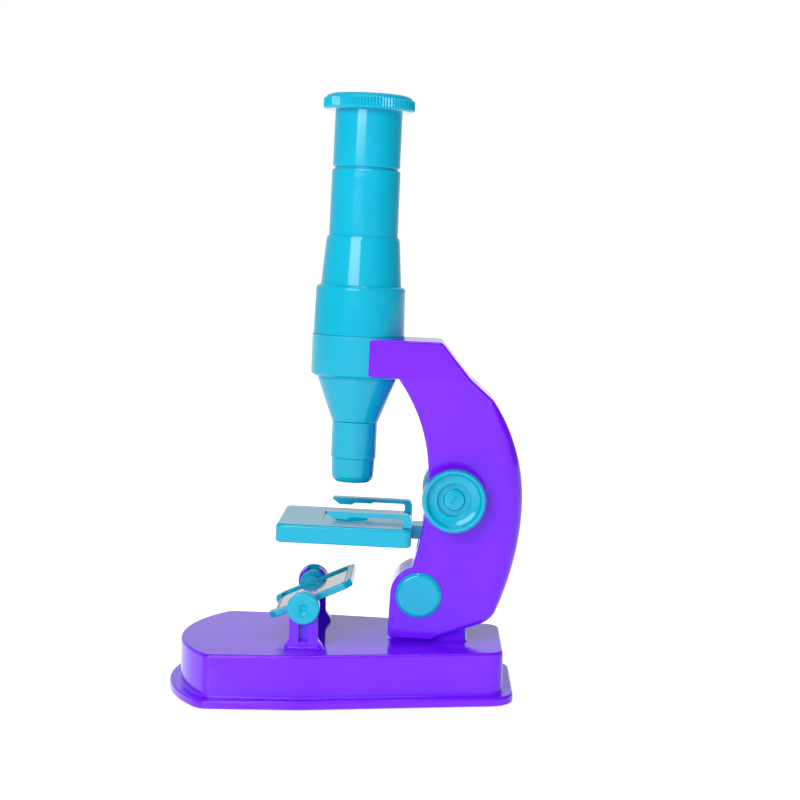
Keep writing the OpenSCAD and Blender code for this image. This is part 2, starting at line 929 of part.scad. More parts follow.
// Focus knob; +Y is outwards.
module knob() {
    o = knob_out;
    translate([knob_x, 0, knob_z])
        difference() {
            union() {
                yplate(o - 5.6, o)
                    teeth(knob_teeth, knob_r - 0.45, knob_r);
                ycyl([0, 0], 13.5, o - 3, 5);
            }
            rotate([-90, 0, 0])
                lathe([[0, o + 1], [9.95, o + 1], [9.95, o], [9.5, o - 1.6], [7.6, o - 2.4], [6.1, o - 2.6], [6.1, o - 3.6],
                    [3.8, o - 3.6], [3.8, o - 2.9], [0, o - 2.9]]);
            rotate([-90, 0, 0])
                lathe([[5, o - 7], [10.2, o - 7], [10.2, o - 4.4], [5, o - 4.6]]);
            ycyl([0, 0], 0, 40, 2.02);
        }
}

module focus_knob_near() {
    color(teal)
        on_arm()
            mirror([0, 1, 0])
                knob();
}

module focus_knob_far() {
    color(teal)
        on_arm()
            knob();
}

base_shell();
base_cover();
cover_screws();
pillar();
pillar_screws();
mirror_post_near();
mirror_post_far();
post_screws();
mirror_frame();
mirror_plate();
mirror_pin_near();
mirror_pin_far();
arm_near();
arm_far();
arm_screws();
pivot_bolt();
pivot_nut();
pivot_washers();
pivot_cap_near();
pivot_cap_far();
head_collar();
body_tube();
draw_tube();
eyepiece_barrel();
eyepiece_cap();
eye_lens();
field_lens();
eye_spacer();
nose_cone();
objective_barrel();
objective_tip();
objective_lens();
lens_retainer();
stage_plate();
stage_slider();
stage_screws();
stage_clip_near();
stage_clip_far();
focus_shaft();
focus_pinion();
focus_knob_near();
focus_knob_far();
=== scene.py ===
import math

import bmesh
import bpy
from mathutils import Matrix, Vector


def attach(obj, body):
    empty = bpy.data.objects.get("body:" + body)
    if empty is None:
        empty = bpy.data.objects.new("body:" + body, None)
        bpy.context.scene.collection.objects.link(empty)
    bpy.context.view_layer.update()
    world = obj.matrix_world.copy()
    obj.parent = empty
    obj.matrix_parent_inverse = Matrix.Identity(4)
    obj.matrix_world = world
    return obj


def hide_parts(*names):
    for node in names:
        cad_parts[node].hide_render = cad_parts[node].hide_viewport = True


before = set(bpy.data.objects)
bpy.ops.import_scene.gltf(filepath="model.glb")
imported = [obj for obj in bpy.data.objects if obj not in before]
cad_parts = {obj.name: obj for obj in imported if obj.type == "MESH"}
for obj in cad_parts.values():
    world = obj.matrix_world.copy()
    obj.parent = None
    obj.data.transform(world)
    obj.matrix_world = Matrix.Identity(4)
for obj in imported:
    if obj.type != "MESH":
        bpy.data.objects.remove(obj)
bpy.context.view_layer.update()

# Sizes in millimetres, in the arm's upright frame unless a line says otherwise.
MM = 0.001
PIVOT = (28.8, 0, 36.4)
LEAN = math.radians(1.6)
TUBE_OFF = 27
BASE_H = 18.7
BASE_LOW = BASE_H - PIVOT[2]
MIRROR_X = -12.6
MIRROR_Z = 34.2
ARM = Matrix.Translation(PIVOT) @ Matrix.Rotation(LEAN, 4, "Y")
AXIS = ARM @ Matrix.Translation((-TUBE_OFF, 0, 0))
MIRROR = Matrix.Translation((MIRROR_X, 0, MIRROR_Z)) @ Matrix.Rotation(math.radians(-23.5), 4, "Y")
NEAR = Matrix.Rotation(math.radians(90), 4, "X")
FAR = Matrix.Rotation(math.radians(-90), 4, "X")
SHAFT_X, SHAFT_Z = 11.2, 37.2
KNOB = ARM @ Matrix.Translation((SHAFT_X, 0, SHAFT_Z))
FLIP_Y = Matrix.Scale(-1, 4, (0, 1, 0))


# ---- outlines ----


def fillet(points, steps=5):
    """A closed 2-D outline from (u, v, corner radius) points; a point without a radius is sharp."""
    out = []
    n = len(points)
    for i, q in enumerate(points):
        r = q[2] if len(q) > 2 else 0
        p = Vector(q[:2])
        a = Vector(points[i - 1][:2]) - p
        b = Vector(points[(i + 1) % n][:2]) - p
        if r <= 0 or a.length < 1e-6 or b.length < 1e-6:
            out.append((p.x, p.y))
            continue
        la, lb = a.length, b.length
        a.normalize()
        b.normalize()
        half = a.angle(b) / 2
        if half > math.pi / 2 - 0.02:
            out.append((p.x, p.y))
            continue
        t = min(r / math.tan(half), 0.49 * la, 0.49 * lb)
        r = t * math.tan(half)
        c = p + (a + b).normalized() * (r / math.sin(half))
        s, e = p + a * t, p + b * t
        a0 = math.atan2(s.y - c.y, s.x - c.x)
        turn = (math.atan2(e.y - c.y, e.x - c.x) - a0 + math.pi) % (2 * math.pi) - math.pi
        for k in range(steps + 1):
            w = a0 + turn * k / steps
            out.append((c.x + r * math.cos(w), c.y + r * math.sin(w)))
    return out


def arc(cx, cy, r, a0, a1, n):
    """n + 1 points on an arc, its angles in degrees."""
    out = []
    for k in range(n + 1):
        w = math.radians(a0 + (a1 - a0) * k / n)
        out.append((cx + r * math.cos(w), cy + r * math.sin(w)))
    return out


def quarter(steps):
    """(1 - sin, 1 - cos) at even steps through a quarter turn, for a rounded edge."""
    turns = [k / steps * math.pi / 2 for k in range(steps + 1)]
    return [(1 - math.sin(w), 1 - math.cos(w)) for w in turns]


def rounded(x0, x1, y0, y1, r, steps=4):
    """A rectangle's outline with rounded corners."""
    return fillet([(x0, y0, r), (x1, y0, r), (x1, y1, r), (x0, y1, r)], steps)


def signed_area(loop):
    return sum(a[0] * b[1] - b[0] * a[1] for a, b in zip(loop, loop[1:] + loop[:1])) / 2


def inset(loop, depth):
    """The outline moved inwards by depth, a number or one number for each point."""
    sign = 1 if signed_area(loop) > 0 else -1
    n = len(loop)
    out = []
    for i, p in enumerate(loop):
        d = depth[i] if isinstance(depth, (list, tuple)) else depth
        e0 = Vector(p) - Vector(loop[i - 1])
        e1 = Vector(loop[(i + 1) % n]) - Vector(p)
        if e0.length < 1e-7:
            e0 = e1.copy()
        if e1.length < 1e-7:
            e1 = e0.copy()
        n0 = Vector((-e0.y, e0.x)).normalized() * sign
        n1 = Vector((-e1.y, e1.x)).normalized() * sign
        m = n0 + n1
        if m.length < 1e-6:
            m = n0
        m.normalize()
        out.append(tuple(Vector(p) + m * (d / max(0.35, m.dot(n0)))))
    return out


# ---- solids ----


def stack(loops):
    """A closed solid through 3-D loops of equal length, with a flat face at each end."""
    bm = bmesh.new()
    rings = [[bm.verts.new(p) for p in loop] for loop in loops]
    n = len(loops[0])
    for a, b in zip(rings, rings[1:]):
        for i in range(n):
            bm.faces.new((a[i], a[(i + 1) % n], b[(i + 1) % n], b[i]))
    bm.faces.new(rings[0])
    bm.faces.new(rings[-1])
    return bm


def tiers(loop, levels):
    """A solid through an outline laid flat at each (inset, height)."""
    return stack([[(x, y, z) for x, y in inset(loop, g)] for g, z in levels])


def plate(loop, y0, y1, r=0.4, steps=4, up=False):
    """An outline given thickness from y0 to y1 with rounded edges.
    up=True lays it flat, with y0 and y1 as heights. r may be a pair, for the y0 and the y1 edge."""
    r0, r1 = r if isinstance(r, tuple) else (r, r)
    levels = [(r0 * s, y0 + r0 * c) for s, c in quarter(steps)]
    levels += [(r1 * c, y1 - r1 * s) for s, c in quarter(steps)]
    loops = []
    for d, y in levels:
        ring = inset(loop, d) if d else list(loop)
        loops.append([(u, v, y) if up else (u, y, v) for u, v in ring])
    return stack(loops)


def lathe(section, segs=160, steps=5, teeth=0, depth=None):
    """A solid of revolution about Z from a closed (radius, height, corner radius) section.
    depth(r, z) cuts that many triangular teeth so deep at each place."""
    pts = fillet(section, steps)
    if teeth:
        segs = teeth * 4
    bm = bmesh.new()
    rings = []
    for r, z in pts:
        if r < 1e-5:
            rings.append([bm.verts.new((0, 0, z))] * segs)
            continue
        d = depth(r, z) if teeth else 0
        ring = []
        for j in range(segs):
            w = 2 * math.pi * j / segs
            q = r - d * (abs(j % 4 - 2) / 2)
            ring.append(bm.verts.new((q * math.cos(w), q * math.sin(w), z)))
        rings.append(ring)
    for a, b in zip(rings, rings[1:] + rings[:1]):
        for j in range(segs):
            k = (j + 1) % segs
            vs = []
            for v in (a[j], a[k], b[k], b[j]):
                if v not in vs:
                    vs.append(v)
            if len(vs) > 2:
                bm.faces.new(vs)
    return bm


def rod(p0, p1, r, segs=64):
    """A plain cylinder between two points, used as a cutter or a boss."""
    a, b = Vector(p0), Vector(p1)
    bm = bmesh.new()
    bmesh.ops.create_cone(bm, cap_ends=True, segments=segs, radius1=r, radius2=r, depth=(b - a).length)
    bm.transform(Matrix.Translation((a + b) / 2) @ (b - a).to_track_quat("Z", "Y").to_matrix().to_4x4())
    return bm


def block(lo, hi):
    """A box between two corners."""
    bm = bmesh.new()
    bmesh.ops.create_cube(bm, size=1)
    middle = [(a + b) / 2 for a, b in zip(lo, hi)]
    spans = [b - a for a, b in zip(lo, hi)]
    bm.transform(Matrix.Translation(middle) @ Matrix.Diagonal(spans + [1]))
    return bm


def face_out(bm):
    """Turns every face's normal outwards."""
    bmesh.ops.recalc_face_normals(bm, faces=bm.faces)
    if bm.calc_volume(signed=True) < 0:
        bmesh.ops.reverse_faces(bm, faces=bm.faces)


def as_object(bm):
    """A temporary object for a boolean."""
    face_out(bm)
    mesh = bpy.data.meshes.new("tmp")
    bm.to_mesh(mesh)
    bm.free()
    ob = bpy.data.objects.new("tmp", mesh)
    bpy.context.scene.collection.objects.link(ob)
    return ob


def carve(bm, tools, how="DIFFERENCE"):
    """bm with each tool cut from it, or joined to it with how="UNION"."""
    for tool in tools:
        for part in (bm, tool):
            face_out(part)
            bmesh.ops.triangulate(part, faces=[f for f in part.faces if len(f.verts) > 4])
        ob, cutter = as_object(bm), as_object(tool)
        mod = ob.modifiers.new("cut", "BOOLEAN")
        mod.operation = how
        mod.solver = "EXACT"
        mod.object = cutter
        bpy.context.view_layer.update()
        done = ob.evaluated_get(bpy.context.evaluated_depsgraph_get())
        bm = bmesh.new()
        bm.from_mesh(done.to_mesh())
        done.to_mesh_clear()
        for o in (ob, cutter):
            mesh = o.data
            bpy.data.objects.remove(o)
            bpy.data.meshes.remove(mesh)
        bmesh.ops.remove_doubles(bm, verts=bm.verts, dist=2e-4)
        bmesh.ops.dissolve_degenerate(bm, edges=bm.edges, dist=1e-5)
    return bm


def piece(name, bm, body, nodes, material, place=Matrix.Identity(4), sharp=38):
    bm.transform(Matrix.Scale(MM, 4) @ place)
    face_out(bm)
    for f in bm.faces:
        f.smooth = True
    for e in bm.edges:
        e.smooth = not (len(e.link_faces) == 2 and e.calc_face_angle(0) > math.radians(sharp))
    mesh = bpy.data.meshes.new(name)
    bm.to_mesh(mesh)
    bm.free()
    mesh.materials.append(material)
    ob = bpy.data.objects.new(name, mesh)
    bpy.context.scene.collection.objects.link(ob)
    m = ob.modifiers.new("normals", "WEIGHTED_NORMAL")
    m.keep_sharp = True
    m.weight = 80
    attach(ob, body)
    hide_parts(*nodes)
    return ob


# ---- materials ----


def new_material(name):
    mat = bpy.data.materials.new(name)
    mat.use_nodes = True
    nt = mat.node_tree
    shader = nt.nodes["Principled BSDF"]
    return mat, nt, shader


def noise(nt, scale, detail=2.0, stretch=None):
    tc = nt.nodes.new("ShaderNodeTexCoord")
    tex = nt.nodes.new("ShaderNodeTexNoise")
    tex.inputs["Scale"].default_value = scale
    tex.inputs["Detail"].default_value = detail
    if stretch:
        mp = nt.nodes.new("ShaderNodeMapping")
        mp.inputs["Scale"].default_value = stretch
        nt.links.new(tc.outputs["Object"], mp.inputs["Vector"])
        nt.links.new(mp.outputs["Vector"], tex.inputs["Vector"])
    else:
        nt.links.new(tc.outputs["Object"], tex.inputs["Vector"])
    return tex


def spread(nt, tex, lo, hi, t0=0.35, t1=0.65):
    """The noise mapped to a range of numbers."""
    mr = nt.nodes.new("ShaderNodeMapRange")
    for k, v in zip(("From Min", "From Max", "To Min", "To Max"), (t0, t1, lo, hi)):
        mr.inputs[k].default_value = v
    nt.links.new(tex.outputs["Fac"], mr.inputs["Value"])
    return mr.outputs["Result"]


def tones(nt, tex, a, b, t0=0.35, t1=0.65):
    """The noise mapped to a blend of two colours."""
    ramp = nt.nodes.new("ShaderNodeValToRGB")
    ramp.color_ramp.elements[0].position = t0
    ramp.color_ramp.elements[1].position = t1
    ramp.color_ramp.elements[0].color = (*a, 1)
    ramp.color_ramp.elements[1].color = (*b, 1)
    nt.links.new(tex.outputs["Fac"], ramp.inputs["Fac"])
    return ramp.outputs["Color"]


def bump(nt, shader, parts):
    """Adds bumps, each (noise, strength, distance in metres)."""
    last = None
    for tex, strength, dist in parts:
        b = nt.nodes.new("ShaderNodeBump")
        b.inputs["Strength"].default_value = strength
        b.inputs["Distance"].default_value = dist
        nt.links.new(tex.outputs["Fac"], b.inputs["Height"])
        if last:
            nt.links.new(last.outputs["Normal"], b.inputs["Normal"])
        last = b
    nt.links.new(last.outputs["Normal"], shader.inputs["Normal"])


def moulded(name, a, b, rough=(0.08, 0.15), sheen=0.38):
    """Glossy injection-moulded plastic: flow tone, faint haze, orange peel and shallow sink waves."""
    mat, nt, sh = new_material(name)
    flow = noise(nt, 26, 3, (1, 1, 0.45))
    haze = noise(nt, 140, 4)
    peel = noise(nt, 1500, 2)
    sink = noise(nt, 55, 1)
    nt.links.new(tones(nt, flow, a, b), sh.inputs["Base Color"])
    nt.links.new(spread(nt, haze, *rough), sh.inputs["Roughness"])
    sh.inputs["IOR"].default_value = 1.5
    sh.inputs["Specular IOR Level"].default_value = sheen
    bump(nt, sh, [(peel, 0.05, 0.00004), (sink, 0.10, 0.0004)])
    return mat


def metal(name, a, b, rough, stretch=(1, 1, 14)):
    mat, nt, sh = new_material(name)
    grain = noise(nt, 420, 3, stretch)
    nt.links.new(tones(nt, grain, a, b), sh.inputs["Base Color"])
    nt.links.new(spread(nt, grain, *rough), sh.inputs["Roughness"])
    sh.inputs["Metallic"].default_value = 1.0
    bump(nt, sh, [(grain, 0.15, 0.00003)])
    return mat


def matt(name, a, b):
    mat, nt, sh = new_material(name)
    grain = noise(nt, 700, 3)
    nt.links.new(tones(nt, grain, a, b), sh.inputs["Base Color"])
    nt.links.new(spread(nt, grain, 0.45, 0.6), sh.inputs["Roughness"])
    bump(nt, sh, [(grain, 0.2, 0.00005)])
    return mat


def glass(name):
    mat, nt, sh = new_material(name)
    dust = noise(nt, 300, 4)
    nt.links.new(tones(nt, dust, (0.86, 0.93, 0.96), (0.94, 0.98, 1.0)), sh.inputs["Base Color"])
    nt.links.new(spread(nt, dust, 0.02, 0.07), sh.inputs["Roughness"])
    sh.inputs["Transmission Weight"].default_value = 1.0
    sh.inputs["IOR"].default_value = 1.49
    bump(nt, sh, [(noise(nt, 60, 1), 0.03, 0.0002)])
    return mat


TEAL = moulded("teal_plastic", (0.001, 0.385, 0.56), (0.002, 0.42, 0.61))
PURPLE = moulded("purple_plastic", (0.165, 0.004, 0.86), (0.182, 0.006, 0.93))
STEEL = metal("zinc_steel", (0.55, 0.56, 0.58), (0.72, 0.73, 0.75), (0.22, 0.36))
SILVER = metal("silvered_plate", (0.52, 0.55, 0.57), (0.60, 0.62, 0.63), (0.05, 0.11), (1, 1, 1))
BLACK = matt("black_matt", (0.012, 0.012, 0.014), (0.022, 0.022, 0.024))
WHITE = matt("white_acetal", (0.78, 0.77, 0.73), (0.86, 0.85, 0.82))
LENS = glass("clear_lens")

CARRIED = {
    "base_cover": PURPLE,
    "cover_screws": STEEL,
    "pillar_screws": STEEL,
    "post_screws": STEEL,
    "arm_screws": STEEL,
    "pivot_bolt": STEEL,
    "pivot_nut": STEEL,
    "pivot_washers": STEEL,
    "stage_screws": STEEL,
    "eye_lens": LENS,
    "field_lens": LENS,
    "objective_lens": LENS,
    "eye_spacer": BLACK,
    "lens_retainer": BLACK,
    "focus_pinion": WHITE,
}
for node, material in CARRIED.items():
    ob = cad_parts[node]
    ob.data.materials.clear()
    ob.data.materials.append(material)


# ---- base ----

BODY_FRONT, BODY_BACK = -60.1, 60.1
BOW_R = 61.3
BEND = Vector((-13, 37))
SIDE_A = Vector((1.2, 33.9)).normalized()
SIDE_B = Vector((12.4, 73.1)).normalized()


def angle_of(p, c):
    return math.degrees(math.atan2(p[1] - c[1], p[0] - c[0]))


def crossing(a, ca, b, cb):
    """Where the lines a.p = ca and b.p = cb meet."""
    d = a[0] * b[1] - a[1] * b[0]
    return Vector(((ca * b[1] - cb * a[1]) / d, (a[0] * cb - b[0] * ca) / d))


def plan(g):
    """The base wall's plan grown by g, as a loop whose point count doesn't change."""
    ca, cb = SIDE_A.dot(BEND) + g, SIDE_B.dot(BEND) + g
    bow = Vector((BODY_FRONT + BOW_R, 0))
    big, rc = BOW_R + g, 4 + g
    along = Vector((SIDE_A.y, -SIDE_A.x))
    foot = SIDE_A * (ca - rc)
    q = foot - bow
    h = q.dot(along)
    c1 = foot - along * (h + math.sqrt(h * h - q.length_squared + (big - rc) ** 2))
    a_bow = angle_of(c1, bow)
    pts = arc(bow.x, bow.y, big, 180, a_bow, 30)
    a_side = angle_of(SIDE_A, (0, 0))
    pts += arc(c1.x, c1.y, rc, a_bow, a_side, 8)[1:]
    a_back = angle_of(SIDE_B, (0, 0))
    rb = 30 + g
    c2 = crossing(SIDE_A, ca - rb, SIDE_B, cb - rb)
    pts += arc(c2.x, c2.y, rb, a_side, a_back, 6)
    rr = 6 + g
    c3 = crossing(SIDE_B, cb - rr, (1, 0), BODY_BACK + g - rr)
    pts += arc(c3.x, c3.y, rr, a_back, 0, 10)
    return pts + [(x, -y) for x, y in reversed(pts[1:])]


def base_solid():
    """The shell with its foot rim, as one run of outlines from the inside top round to the outside top."""
    rim, rim_h, rim_r, top_r, root = 4, 3.2, 0.9, 1.1, 0.7
    inner, rebate, roof = -2.2, 1.7, 2.4
    levels = [(inner, BASE_H - roof), (inner, 2.1), (rebate, 2.1), (rebate, 0.25)]
    levels += [(1.95, 0), (3.6, 0), (rim, 0.35)]
    levels += [(rim - rim_r * c, rim_h - rim_r * s) for s, c in quarter(5)]
    levels += [(root * s, rim_h + root * c) for s, c in quarter(5)]
    levels += [(-top_r * c, BASE_H - top_r * s) for s, c in quarter(6)]
    return stack([[(x, y, z) for x, y in plan(g)] for g, z in levels])


piece("base_shell_v", base_solid(), "base", ["base_shell"], PURPLE)

# ---- pillar ----


def pillar_solid():
    half, sunk, flare = 7.6, 0.2, 1.5
    front, back, bore = -10.5, 17.7, 2.05
    low = BASE_LOW - sunk
    side = fillet([(front, BASE_LOW + 1.2), (-8.3, BASE_LOW + 1.2, 0.8), (-8.3, 0), (5.87, 5.87),
                   (back, -11, 1.5), (back, low), (front, low)], 4)
    body = plate(side, -half, half, 0.5)
    hub = plate(arc(0, 0, 8.3, 0, 352.5, 47), -6, 6, 0.3)
    foot_loop = rounded(front + 0.2, back - 0.2, -half + 0.2, half - 0.2, 1)
    levels = [(-flare, low)]
    levels += [(-flare * s, BASE_LOW + flare * c) for s, c in quarter(6)]
    levels.append((0.3, BASE_LOW + 1.8))
    solid = carve(body, [hub, tiers(foot_loop, levels)], "UNION")
    cuts = [rod((0, a, 0), (0, b, 0), 8.5, 96) for a, b in ((-20, -6), (6, 20))]
    cuts.append(rod((0, -20, 0), (0, 20, 0), bore))
    return carve(solid, cuts)


piece("pillar_v", pillar_solid(), "base", ["pillar"], PURPLE, Matrix.Translation(PIVOT))

# ---- mirror posts ----


def post_solid():
    """A mirror post at its foot; +Y is its outer side."""
    up = MIRROR_Z - BASE_H
    w, r = 5.1, 5.7
    a = math.degrees(math.acos(w / r))
    right = [(7.0, 0), (7.0, 1.2), (w, 3.8, 2.4)]
    left = [(-q[0],) + tuple(q[1:]) for q in reversed(right)]
    loop = fillet(right + arc(0, up, r, -a, 180 + a, 40) + left, 5)
    body = plate(loop, -2, 2, 0.35)
    pad = rounded(-7.4, 7.4, -3.8, 3.4, 2.4)
    foot = tiers(pad, [(0, -0.2), (0, 0.2), (0.8, 0.4), (1.3, 0.8), (1.5, 1.2)])
    stub = rod((0, 0, -3.4), (0, 0, 0.5), 2.5)
    solid = carve(body, [foot, stub], "UNION")
    mouth = [(-1.95, up), (1.95, up), (2.6, up + 9), (-2.6, up + 9)]
    channel = fillet([(-1.7, 2.9), (1.7, 2.9), (1.7, up - 5.6, 1.5), (-1.7, up - 5.6, 1.5)], 4)
    bore = rod((0, -6, up), (0, 6, up), 2.45)
    screw_hole = rod((0, 0, -5), (0, 0, 0), 1.1)
    return carve(solid, [bore, plate(mouth, -6, 6, 0.01, 1), plate(channel, -1.3, 6, 0.02, 1), screw_hole])


for side, turn in (("near", math.pi), ("far", 0)):
    y = -25 if side == "near" else 25
    piece("mirror_post_%s_v" % side, post_solid(), "base", ["mirror_post_" + side], PURPLE,
          Matrix.Translation((MIRROR_X, y, BASE_H)) @ Matrix.Rotation(turn, 4, "Z"))

# ---- mirror ----


def mirror_tray():
    """The tray lies off the pins' axis, towards its upper end."""
    x0, x1, w, low, top = -14.2, 18.4, 18.4, -1.0, 1.5

    def octagon(g, c, r=0.0):
        """The tray's outline pulled in by g, its corners cut by c and rounded by r."""
        a, b, e = x0 + g, x1 - g, w - g
        pts = [(a + c, -e), (b - c, -e), (b, -e + c), (b, e - c)]
        pts += [(b - c, e), (a + c, e), (a, e - c), (a, -e + c)]
        return fillet([(x, y, r) for x, y in pts], 4)

    tray = plate(octagon(0, 2.6, 1.2), low, top, 0.5, 4, True)
    ears = [plate(arc(0, 0, 3.2, 0, 350, 35), s * 18.2 - 1.8, s * 18.2 + 1.8, 0.2) for s in (-1, 1)]
    solid = carve(tray, ears, "UNION")
    cuts = [plate(octagon(2.3, 2.0), 0.75, 4, 0.02, 1, True)]
    cuts.append(block((x0 + 2.9, -w + 2.9, 0.05), (x1 - 2.9, w - 2.9, 0.8)))
    cuts.append(block((x0 - 2, -w + 5, 0.7), (x0 + 2.6, w - 5, 4)))
    cuts.append(block((x0 - 2, -w + 7.5, -3), (x0 + 2.0, w - 7.5, 4)))
    cuts += [rod((0, s * 16.8, 0), (0, s * 30, 0), 1.3, 32) for s in (-1, 1)]
    return carve(solid, cuts)


def mirror_slip():
    """The silvered slip lying in the tray."""
    x0, x1, w = -11.1, 15.3, 15.3
    loop = rounded(x0, x1, -w, w, 0.5, 3)
    return plate(loop, 0.07, 0.72, 0.06, 2, True)


piece("mirror_plate_v", mirror_slip(), "mirror", ["mirror_plate"], SILVER, MIRROR)
piece("mirror_frame_v", mirror_tray(), "mirror", ["mirror_frame"], TEAL, MIRROR)


def mirror_pin():
    """The pin's end in the tray, its inner collar, the journal and the dimpled outer disc."""
    return lathe([(0, 17), (1.28, 17, 0.2), (1.28, 20),
                  (4.8, 20, 0.4), (4.8, 22.7, 0.4), (2.4, 22.7), (2.4, 27.3),
                  (5.9, 27.3, 0.3), (5.9, 29.3, 0.7), (3.4, 29.3, 0.8),
                  (1.6, 28.95, 0.8), (0.7, 28.2, 0.5), (0, 28.1)], 96)


piece("mirror_pin_near_v", mirror_pin(), "mirror", ["mirror_pin_near"], TEAL, MIRROR @ NEAR)
piece("mirror_pin_far_v", mirror_pin(), "mirror", ["mirror_pin_far"], TEAL, MIRROR @ FAR)

# ---- arm ----

SEAT = math.radians(20.6)
SEAT_N = Vector((-math.sin(SEAT), math.cos(SEAT)))
SEAT_C = BASE_LOW + 0.35
TAIL_R = 9
KNUCKLE_R = 10.6
WALL = 2.0
HEAD_TOP, HEAD_LOW = 94.2, 80.2


def half_width(z):
    """Half the arm's width, which grows from the knuckle to the head."""
    low, high = 10.8, 16.7
    t = min(1, max(0, (z - 11) / 69))
    return low + (high - low) * t


def arm_outline(small=0.0):
    """The arm's side outline, from the head's top front round the back, the tail and the knuckle.
    Corners rounded less than small are left sharp."""
    up_c, up_r = Vector((36.8 - 68, 34)), 68
    dn_c, dn_r = Vector((36.8 - 100, 34)), 100
    p, d = Vector((15.5, 81)), Vector((8, -6.7)).normalized()
    q = p - up_c
    h = q.dot(d)
    hit = p + d * (-h + math.sqrt(h * h - q.length_squared + up_r ** 2))
    a_hit = angle_of(hit, up_c)
    k = (SEAT_C + TAIL_R - SEAT_N.dot(dn_c)) / (dn_r - TAIL_R)
    a_tail = angle_of(SEAT_N, (0, 0)) - math.degrees(math.acos(k))
    tail = dn_c + (dn_r - TAIL_R) * Vector((math.cos(math.radians(a_tail)), math.sin(math.radians(a_tail))))
    a_seat = angle_of(-SEAT_N, (0, 0))
    pts = [(x, HEAD_TOP) for x in (-TUBE_OFF, -18, -9)]
    pts += [(4.11, HEAD_TOP, 2.5), (15.5, 81, 1.6), (hit.x, hit.y, 3)]
    pts += arc(up_c.x, up_c.y, up_r, a_hit, 0, 26)[2:]
    pts += arc(dn_c.x, dn_c.y, dn_r, 0, a_tail, 22)[1:-1]
    pts += arc(tail.x, tail.y, TAIL_R, a_tail, a_seat, 12)
    pts += [(5.68, -16.4, 5), (-10.9, -16.4, 1.6), (-10.72, -6)]
    # round the knuckle to where the inner curve starts
    throat_x, throat_z, low_r, high_r = 1.4, 43.5, 130, 60
    inner = Vector((throat_x - low_r, throat_z))
    w = 180.0
    while (Matrix.Rotation(math.radians(w), 2) @ Vector((KNUCKLE_R, 0)) - inner).length < low_r:
        w -= 0.05
    knuckle = arc(0, 0, KNUCKLE_R, 180, w, 16)
    pts += knuckle[:-1]
    pts.append((*knuckle[-1], 0.9))
    pts += arc(inner.x, inner.y, low_r, angle_of(knuckle[-1], inner), 0, 18)[1:]
    pts += arc(throat_x - high_r, throat_z, high_r, 0, 37.7, 22)[1:]
    pts += [(-11.25, HEAD_LOW, 0.3), (-18, HEAD_LOW), (-TUBE_OFF, HEAD_LOW)]
    return fillet([q if len(q) > 2 and q[2] > small else q[:2] for q in pts], 4)


def edge_radius(p):
    """How far the side face's edge is rounded at an outline point: most along the lower back."""
    x, z = p
    keys = [(-17, 0.5), (-13.5, 0.8), (-8, 3), (0, 5.6), (15, 7), (34, 8), (55, 6.5), (68, 3.5), (74.5, 1.2),
            (95, 1.0)]
    front = x < 13 and z < 70 or x < 6 or z > 76
    if front:
        return 1.0 if z > 80 else 0.6
    for (z0, r0), (z1, r1) in zip(keys, keys[1:]):
        if z <= z1:
            t = max(0, (z - z0) / (z1 - z0))
            t = t * t * (3 - 2 * t)
            return r0 + (r1 - r0) * t
    return 1.0


def arm_side(outline, radii, wall=0.0):
    """Half of the arm from the parting plane to the near face, pulled in by wall."""
    loops = []
    if not wall:
        loops.append([(x, 0.0, z) for x, z in inset(outline, 0.16)])
        loops.append([(x, -0.12, z) for x, z in outline])
    else:
        loops.append([(x, 1.0, z) for x, z in outline])
    for s, c in quarter(9):
        ring = inset(outline, [r * c for r in radii])
        loops.append([(x, -(half_width(z) - wall - r * s), z) for (x, z), r in zip(ring, radii)])
    bm = stack(loops)
    for z in (11, 80):
        geom = bm.verts[:] + bm.edges[:] + bm.faces[:]
        bmesh.ops.bisect_plane(bm, geom=geom, plane_co=(0, 0, z), plane_no=(0, 0, 1), dist=1e-5)
    return bm


def smooth_list(values, rounds=6):
    """Numbers round a loop, each blended with its neighbours."""
    n = len(values)
    for _ in range(rounds):
        values = [(values[i - 1] + 2 * values[i] + values[(i + 1) % n]) / 4 for i in range(n)]
    return values


SCREWS = [(-5, 87.2), (25, 62), (29.5, 30), (23.8, -1.5)]


def core_radius(p):
    """How far the cavity's edge is rounded: only along the lower back, where the outside is rounded most."""
    if p[0] > 14 and 0 < p[1] < 66:
        return max(0.0, edge_radius(p) - WALL)
    return 0.0


def arm_cavity():
    """What the arm's near half leaves hollow, with its screw, shaft and bolt bosses left standing."""
    rough = arm_outline(4)
    cavity = arm_side(inset(rough, WALL), smooth_list([core_radius(p) for p in rough]), WALL)
    bosses = [rod((x, -30, z), (x, 5, z), 4.0, 48) for x, z in SCREWS]
    bosses.append(rod((SHAFT_X, -30, SHAFT_Z), (SHAFT_X, -8.4, SHAFT_Z), 4.2, 48))
    bosses.append(rod((0, -30, 0), (0, -6.3, 0), 8.2, 64))
    return carve(cavity, bosses)


